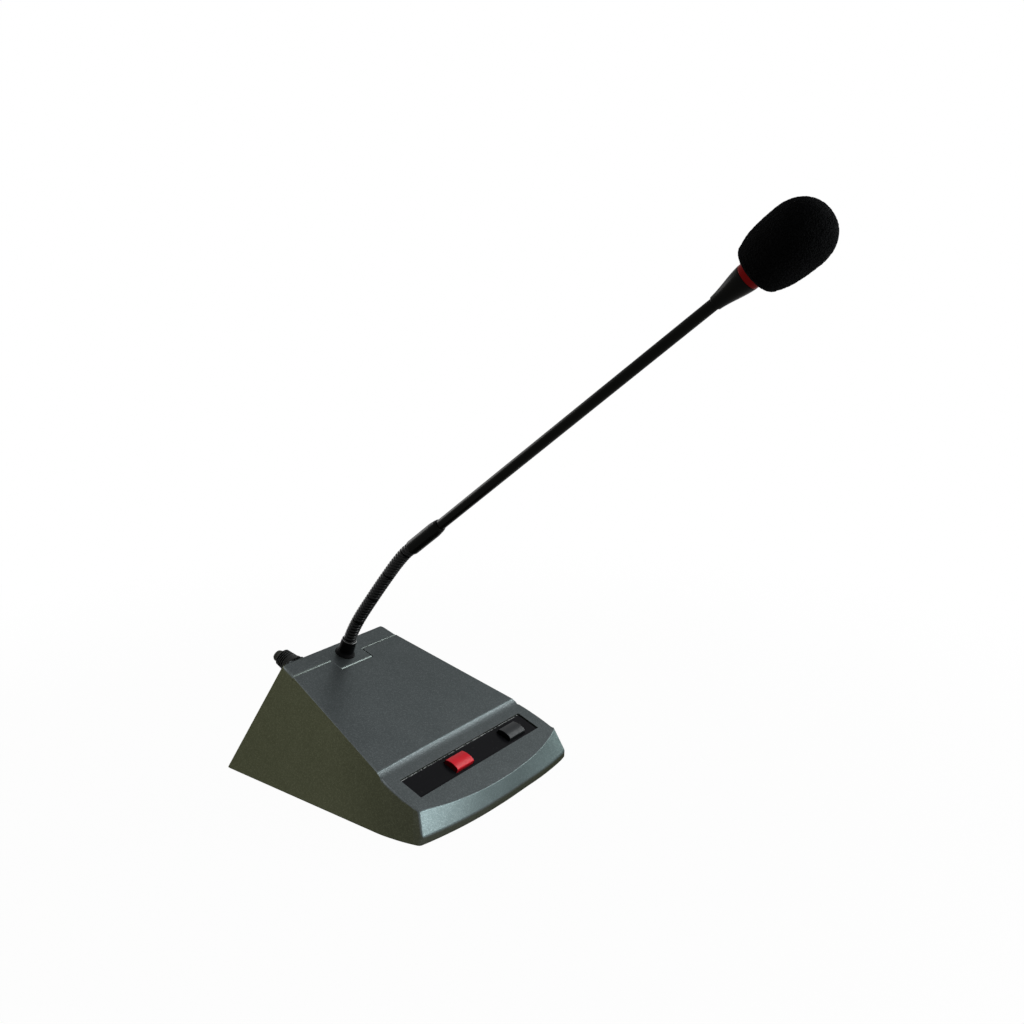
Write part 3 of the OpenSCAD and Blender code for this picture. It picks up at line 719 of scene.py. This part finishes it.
def mark_paint(piece):
    """Face attributes of a cover: painted light by facing, 0.5 on the top and 1 on the nose, and the
    share of painted highlight on its arrises.
    """
    facing_light = piece.data.attributes.new("facing_light", "FLOAT", "FACE")
    arris_highlight = piece.data.attributes.new("arris_highlight", "FLOAT", "FACE")
    for face in piece.data.polygons:
        n, place = face.normal, face.center / MM
        up = n.dot(normal)
        # Painted light by facing: 0 on the flanks, 0.5 on the top, 1 on the nose.
        nose = ramp(-n.y, 0.5, 0.8) * ramp(n.z, 0.0, 0.1)
        facing_light.data[face.index].value = max(ramp(up, 0.2, 0.55) / 2, nose)
        arris_light = 0.0
        # Painted highlight: faint on the side arrises, stronger on arrises facing forward, none along
        # the step.
        if above_top(place) > -1.2 and place.y > -72:
            past_step = down_top(place) - STEP_AT
            share = 0.7 if past_step < -1 else 0.0 if past_step < 7 else 0.8
            arris_light = max(
                0.15 * ramp(2 * abs(n.x) * up, 0.5, 0.9) if abs(place.x) > SIDE_FROM else 0.0,
                share * ramp(-2 * n.dot(uphill) * up, 0.25, 0.6))
        arris_highlight.data[face.index].value = arris_light


COVER_ROUNDS = (cover_corner, cover_edge)
mark_paint(softened(
    "main_cover", "main_cover_shell", "base", COVER_ROUND, COVER_ROUNDS, 4, main_form))
mark_paint(softened(
    "rear_cover", "rear_cover_shell", "base", COVER_ROUND, COVER_ROUNDS, 4, rear_form))


# Control strip and buttons

STRIP_ROUND, CAP_ROUND = 0.16, 0.25


def strip_edge(middle, a, b):
    return STRIP_ROUND if a.dot(normal) > 0.9 or b.dot(normal) > 0.9 else 0.0


def cap_edge(middle, a, b):
    """Soft rims on the cap; the flange and the stem below the strip stay square."""
    return CAP_ROUND if above_top(middle) > -1.9 else 0.0


def mark_cap_light(piece):
    """Face attribute of a cap, the share of painted light: 1 where it looks up, little on its front,
    nothing on its flanks, which take the painted shade colour.
    """
    crown = piece.data.attributes.new("crown", "FLOAT", "FACE")
    for face in piece.data.polygons:
        up, front = face.normal.dot(normal), -face.normal.dot(uphill)
        crown.data[face.index].value = min(1.0, max(0.0, up) + 0.35 * max(0.0, front))


softened("control_inlay", "control_strip", "base", STRIP_ROUND, (strip_edge,), 2)
mark_cap_light(softened("red_button", "red_cap", "red_key", CAP_ROUND, (cap_edge,), 4))
mark_cap_light(softened("grey_button", "grey_cap", "grey_key", CAP_ROUND, (cap_edge,), 4))


# Collar and wound neck

def add_collar():
    outline = rounded([
        (1.9, -12), (3.5, -12, 0.2), (3.5, 0), (5.9, 0, 0.1), (5.8, 0.45, 0.25), (4.85, 1.7, 1.3),
        (4.34, 9.8, 0.4), (3.78, 9.8, 0.18), (3.78, 8.7), (1.9, 8.7),
    ])
    piece = turned("collar_turned", outline, collar_frame)
    fit_out(piece, "neck_collar", "base")


# The rib's groove, crest and pitch, the slit and ball at the hinges between two lengths, and how
# far the neck's ends and the collar's rim lie beyond the first and the last hinge, in mm.
NECK_GROOVE, NECK_CREST, NECK_PITCH = 3.2, 3.7, 2.1333
HINGE_SLIT, HINGE_BALL, HINGE_SOCKET = 0.8, 2.75, 2.85
NECK_FOOT, BEND_FROM, COLLAR_RIM = 3.2, 4.2, 4.6
SLEEVE_MOUTH, NECK_END = 4.7, 8


def neck_line():
    """Points along the neck: foot in the collar, middle of each link, mouth and inside of the sleeve."""
    middles = []
    for k in range(8):
        along = (pivots[k + 1] - pivots[k]).normalized()
        middles.append((pivots[k + 1] + along * 0.5 * MM, along))
    foot = (pivots[0] + normal * NECK_FOOT * MM, normal)
    rim = (pivots[0] + normal * COLLAR_RIM * MM, normal)
    mouth = (pivots[8] + head_axis * SLEEVE_MOUTH * MM, head_axis)
    inside = (pivots[8] + head_axis * NECK_END * MM, head_axis)
    return foot, rim, middles, mouth, inside


def add_winding(line):
    """One helical rib, screwed up a straight core and bent along the line of the neck."""
    path = bpy.data.curves.new("neck_line", "CURVE")
    path.dimensions = "3D"
    path.resolution_u = 32
    spline = path.splines.new("BEZIER")
    spline.bezier_points.add(len(line) - 1)
    for point, place in zip(spline.bezier_points, line):
        point.co = place
        point.handle_left_type = point.handle_right_type = "AUTO"
    guide = bpy.data.objects.new("neck_line", path)
    scene.collection.objects.link(guide)

    length = sum((b - a).length for a, b in zip(line, line[1:])) / MM
    turns = math.ceil(length / NECK_PITCH) + 4
    rib = []
    for k in range(13):
        t = k / 12
        lift = math.sqrt(max(0.0, 1 - ((t - 0.5) / 0.44) ** 2))
        rib.append((NECK_GROOVE + (NECK_CREST - NECK_GROOVE) * lift, (t - 2) * NECK_PITCH))
    mesh = bpy.data.meshes.new("winding")
    mesh.from_pydata([(r * MM, 0, z * MM) for r, z in rib], [(i, i + 1) for i in range(12)], [])
    winding = add_piece("winding", mesh)
    apply(winding, "SCREW", axis="Z", angle=2 * math.pi, screw_offset=NECK_PITCH * MM,
          iterations=turns, steps=48, render_steps=48,
          use_merge_vertices=False, use_normal_calculate=True)
    edit(winding)
    bpy.ops.mesh.remove_doubles(threshold=2e-6)
    bpy.ops.mesh.normals_make_consistent(inside=False)
    done(winding)
    apply(winding, "CURVE", object=guide, deform_axis="POS_Z")
    bpy.data.objects.remove(guide, do_unlink=True)
    return winding


def cut(piece, place, along, keep_after):
    edit(piece)
    bpy.ops.mesh.bisect(plane_co=place, plane_no=along, use_fill=False,
                        clear_inner=keep_after, clear_outer=not keep_after)
    bpy.ops.mesh.edge_face_add()
    bpy.ops.mesh.poke()
    done(piece)


def hinge_place(k):
    """Place of the neck's hinge k and the neck's direction there."""
    before = (pivots[k] - pivots[k - 1]).normalized()
    after = (pivots[k + 1] - pivots[k]).normalized() if k < 8 else head_axis
    return pivots[k], (before + after).normalized()


def ball_end(piece, place, radius, operation):
    """Round a hinge the winding ends in a ball, or is hollowed for one."""
    take(piece)
    bpy.ops.mesh.primitive_uv_sphere_add(
        segments=40, ring_count=20, radius=radius * MM, location=place)
    ball = bpy.context.object
    apply(piece, "BOOLEAN", operation=operation, object=ball, solver="EXACT")
    bpy.data.objects.remove(ball, do_unlink=True)


def add_neck():
    """Six lengths of the winding; each but the last spans one hinge, and balls join them. Only the last
    rides on a body, the head; the others stay where they are built.
    """
    foot, rim, middles, mouth, inside = neck_line()
    winding = add_winding([foot[0], rim[0]] + [m[0] for m in middles] + [mouth[0], inside[0]])
    ends = [foot, middles[0]] + [hinge_place(k) for k in (2, 4, 6, 8)] + [inside]
    lengths = [
        (("base", "link_1"), (1,)), (("link_1", "link_2"), (1, 2)), (("link_3", "link_4"), (3, 4)),
        (("link_5", "link_6"), (5, 6)), (("link_7", "link_8"), (7, 8)), (("head",), (8,)),
    ]
    for k, (bodies, links) in enumerate(lengths):
        piece = add_piece("neck_winding_%d" % (k + 1), winding.data.copy())
        low, low_way = ends[k]
        high, high_way = ends[k + 1]
        from_hinge, to_hinge = k > 1, 0 < k < 5
        slit = HINGE_SLIT / 2 * MM
        cut(piece, low + low_way * slit * from_hinge, low_way, True)
        cut(piece, high - high_way * slit * to_hinge, high_way, False)
        edit(piece)
        bpy.ops.mesh.normals_make_consistent(inside=False)
        done(piece)
        if from_hinge:
            ball_end(piece, low, HINGE_SOCKET, "DIFFERENCE")
        if to_hinge:
            ball_end(piece, high, HINGE_BALL, "UNION")
        take(piece)
        bpy.ops.object.shade_smooth_by_angle(angle=math.radians(60))
        piece.data.materials.clear()
        piece.data.materials.append(finishes["neck_black"])
        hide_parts(*["neck_link_%d" % link for link in links])
        if len(bodies) == 1:
            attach(piece, *bodies)
        else:
            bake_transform(piece)
    bpy.data.objects.remove(winding, do_unlink=True)


add_collar()
add_neck()


# Sleeve, stem, cone and light ring

SLEEVE_Z = 4.696
STEM_Z = SLEEVE_Z + 25.5
CONE_Z = STEM_Z + 198
RING_Z = CONE_Z + 18.9
BASKET_Z = CONE_Z + 19.7
FOAM_Z = BASKET_Z + 0.3
RING_END = FOAM_Z + 2.4


def flare(t):
    return t / 2 + t * t * (3 - 2 * t) / 2


def add_stem():
    sleeve = rounded([
        (1.9, 6.0), (3.75, 5.2), (3.72, SLEEVE_Z, 0.1), (3.95, SLEEVE_Z, 0.12), (4.2, 5.7, 0.35),
        (4.2, STEM_Z - 5.6, 2.0), (3.8, STEM_Z - 1.8, 0.5), (3.4, STEM_Z, 0.25), (3.0, STEM_Z),
        (3.0, STEM_Z - 8), (1.9, STEM_Z - 8),
    ])
    fit_out(turned("sleeve_turned", sleeve, head_frame), "coupling_sleeve", "head")
    tube = rounded([
        (2.2, STEM_Z - 8), (2.95, STEM_Z - 8, 0.15), (2.95, CONE_Z + 8, 0.15), (2.2, CONE_Z + 8),
    ])
    fit_out(turned("stem_drawn", tube, head_frame, 64), "stem_tube", "head")
    cone = [(3.0, CONE_Z), (3.3, CONE_Z), (3.46, CONE_Z + 0.08), (3.53, CONE_Z + 0.25)]
    for i in range(25):
        t = i / 24
        cone.append((3.55 + 2.95 * flare(t), CONE_Z + 0.4 + 18.35 * t))
    cone += [(6.46, RING_Z - 0.06), (6.34, RING_Z), (5.65, RING_Z), (5.65, BASKET_Z - 0.05),
             (4.85, BASKET_Z - 0.05), (4.85, BASKET_Z + 4), (2.2, BASKET_Z + 4), (2.2, CONE_Z + 8),
             (3.0, CONE_Z + 8)]
    fit_out(turned("cone_turned", cone, head_frame), "head_cone", "head")
    ring = rounded([
        (5.7, RING_Z), (6.5, RING_Z + 0.02, 0.25), (6.5, RING_END, 0.25), (5.7, RING_END),
    ])
    fit_out(turned("ring_moulded", ring, head_frame), "light_ring", "head")


add_stem()


# Foam windscreen

# Heights of the foam's foot, hip and widest place over its seat, its radius there and at the mouth,
# its pocket, the heights of its lower and upper half, and how full their curves are, in mm.
FOAM_FOOT, FOAM_HIP, FOAM_WIDEST = 2.6, 6.2, 27.5
FOAM_RADIUS, FOAM_MOUTH, POCKET_RADIUS, POCKET_TOP = 15.7, 7.3, 6.62, 26.3
LOWER_HEIGHT, LOWER_FULL = 27.9, 2.9
UPPER_HEIGHT, UPPER_FULL = 17.5, 2.15


def foam_radius(z):
    """Radius in mm of the foam at a height over its seat."""
    if z < FOAM_HIP:
        bend = math.sqrt(max(0.0, 1 - ((FOAM_HIP - z) / (FOAM_HIP - FOAM_FOOT)) ** 2))
        return FOAM_MOUTH + (foam_radius(FOAM_HIP) - FOAM_MOUTH) * bend
    if z < FOAM_WIDEST:
        share, full = (FOAM_WIDEST - z) / LOWER_HEIGHT, LOWER_FULL
    else:
        share, full = (z - FOAM_WIDEST) / UPPER_HEIGHT, UPPER_FULL
    return FOAM_RADIUS * max(0.0, 1 - share ** full) ** (1 / full)


def add_foam():
    """Cut foam: a turned egg with a pocket, its skin broken into small open cells."""
    outline = [(POCKET_RADIUS, z) for z in (POCKET_TOP, 18, 9, 3.2)] + [(6.8, 2.7)]
    for i in range(110):
        z = FOAM_FOOT + (FOAM_WIDEST - FOAM_FOOT) * (1 - math.cos(math.pi / 2 * i / 110))
        outline.append((foam_radius(z), z))
    for i in range(81):
        z = FOAM_WIDEST + UPPER_HEIGHT * math.sin(math.pi / 2 * i / 80)
        outline.append((foam_radius(z), z))
    outline.append((0, POCKET_TOP))
    outline = [(r, z + FOAM_Z) for r, z in outline]
    piece = turned("foam_skin", outline, head_frame, 300)
    texture = bpy.data.textures.new("foam_cells", "VORONOI")
    texture.noise_scale = 0.0009
    texture.noise_intensity = 1.1
    apply(piece, "DISPLACE", texture=texture, texture_coords="LOCAL", strength=0.00035, mid_level=0.75)
    fit_out(piece, "foam_windscreen", "windscreen")


add_foam()


# Cable gland

def add_gland():
    """Strain relief: flange, ribbed barrel and a narrow mouth that droops a little."""
    foot, first, tip = 3.0, 5.6, 10.8
    outline = [(2.6, -8.0), (3.6, -8.0), (3.6, 1.6), (6.3, 1.6, 0.2), (6.2, foot, 0.5),
               (5.8, foot + 0.3, 0.2), (5.7, first, 0.3)]
    pitch = (tip - first) / 4
    for i in range(4):
        z = first + 0.3 + i * pitch
        r = 5.6 - 0.14 * i
        outline += [(r, z, 0.1), (r - 0.9, z + pitch * 0.12, 0.1), (r - 0.9, z + pitch * 0.5, 0.1),
                    (r, z + pitch * 0.62, 0.1)]
    outline += [(5.0, tip + 0.3, 0.5), (3.7, tip + 0.9, 0.4), (3.4, tip + 3.2, 1.0),
                (2.8, tip + 4.4, 0.4), (2.6, tip + 4.4)]
    piece = turned("gland_moulded", rounded(outline, 3), gland_frame, 72)
    for vertex in piece.data.vertices:
        out = (vertex.co - gland_start).dot(gland_axis) / MM
        vertex.co -= normal * MM * (0.2 * ramp(out, 1.7, 3.0) + 1.0 * ramp(out, tip, tip + 3))
    piece.data.update()
    fit_out(piece, "cable_gland", "base")


add_gland()


# Stage

def add_stage():
    bpy.ops.mesh.primitive_plane_add(size=12, location=(0, 0, -0.0002))
    floor = bpy.context.object
    floor.name = "floor"
    material = bpy.data.materials.new("floor_white")
    material.use_nodes = True
    tree = material.node_tree
    shader = tree.nodes["Principled BSDF"]
    shader.inputs["Base Color"].default_value = (0.4, 0.4, 0.38, 1)
    shader.inputs["Roughness"].default_value = 0.9
    shader.inputs["Specular IOR Level"].default_value = 0.0
    wire = Wire(tree)
    lit = wire.node("ShaderNodeEmission", None, {"Color": (1, 1, 1, 1), "Strength": 1.0})
    spread = wire.node("ShaderNodeVectorMath", {"operation": "LENGTH"}, {0: place_on(wire)}, "Value")
    share = seen_directly(wire) * (0.975 + 0.025 * spread.ease(0.2, 0.6))
    mixed = wire.node("ShaderNodeMixShader", None, {0: share})
    mixer = mixed.socket.node
    tree.links.new(shader.outputs[0], mixer.inputs[1])
    tree.links.new(lit.socket, mixer.inputs[2])
    tree.links.new(mixed.socket, tree.nodes["Material Output"].inputs["Surface"])
    floor.data.materials.append(material)


def add_world():
    world = bpy.data.worlds.new("studio")
    scene.world = world
    world.use_nodes = True
    tree = world.node_tree
    back = tree.nodes["Background"]
    colour = seen_directly(Wire(tree)).tint((0.1, 0.1, 0.095), (1, 1, 1))
    tree.links.new(colour.socket, back.inputs["Color"])
    back.inputs["Strength"].default_value = 1.0


def add_lamp(name, place, aim, width, height, power, colour):
    lamp = bpy.data.lights.new(name, "AREA")
    lamp.shape = "RECTANGLE"
    lamp.size, lamp.size_y = width, height
    lamp.energy = power
    lamp.color = colour
    obj = bpy.data.objects.new(name, lamp)
    obj.location = place
    obj.rotation_mode = "QUATERNION"
    obj.rotation_quaternion = (Vector(aim) - Vector(place)).to_track_quat("-Z", "Y")
    scene.collection.objects.link(obj)


add_stage()
add_world()
add_lamp("front", (0.4, -1.46, 0.17), (0, -0.06, 0.02), 0.9, 0.33, 15.5, (0.95, 0.99, 1.0))
add_lamp("right", (1.08, -0.66, 0.85), (0, -0.05, 0.03), 0.6, 0.5, 10.5, (0.94, 0.99, 1.0))
add_lamp("low_right", (1.05, -1.08, 0.2), (0, -0.06, 0.02), 0.7, 0.3, 3, (0.95, 1.0, 1.0))
add_lamp("far_right", (1.5, -0.3, 0.2), (0, 0, 0.1), 0.5, 0.4, 9, (0.97, 1.0, 1.0))
add_lamp("top", (-0.6, 0.5, 1.7), (0, 0, 0.08), 0.6, 0.6, 6, (0.97, 0.99, 1.0))
add_lamp("rim", (0.15, 1.7, 0.55), (0, -0.1, 0.15), 1.0, 0.8, 14, (1.0, 1.0, 0.97))

scene.view_settings.view_transform = "Standard"
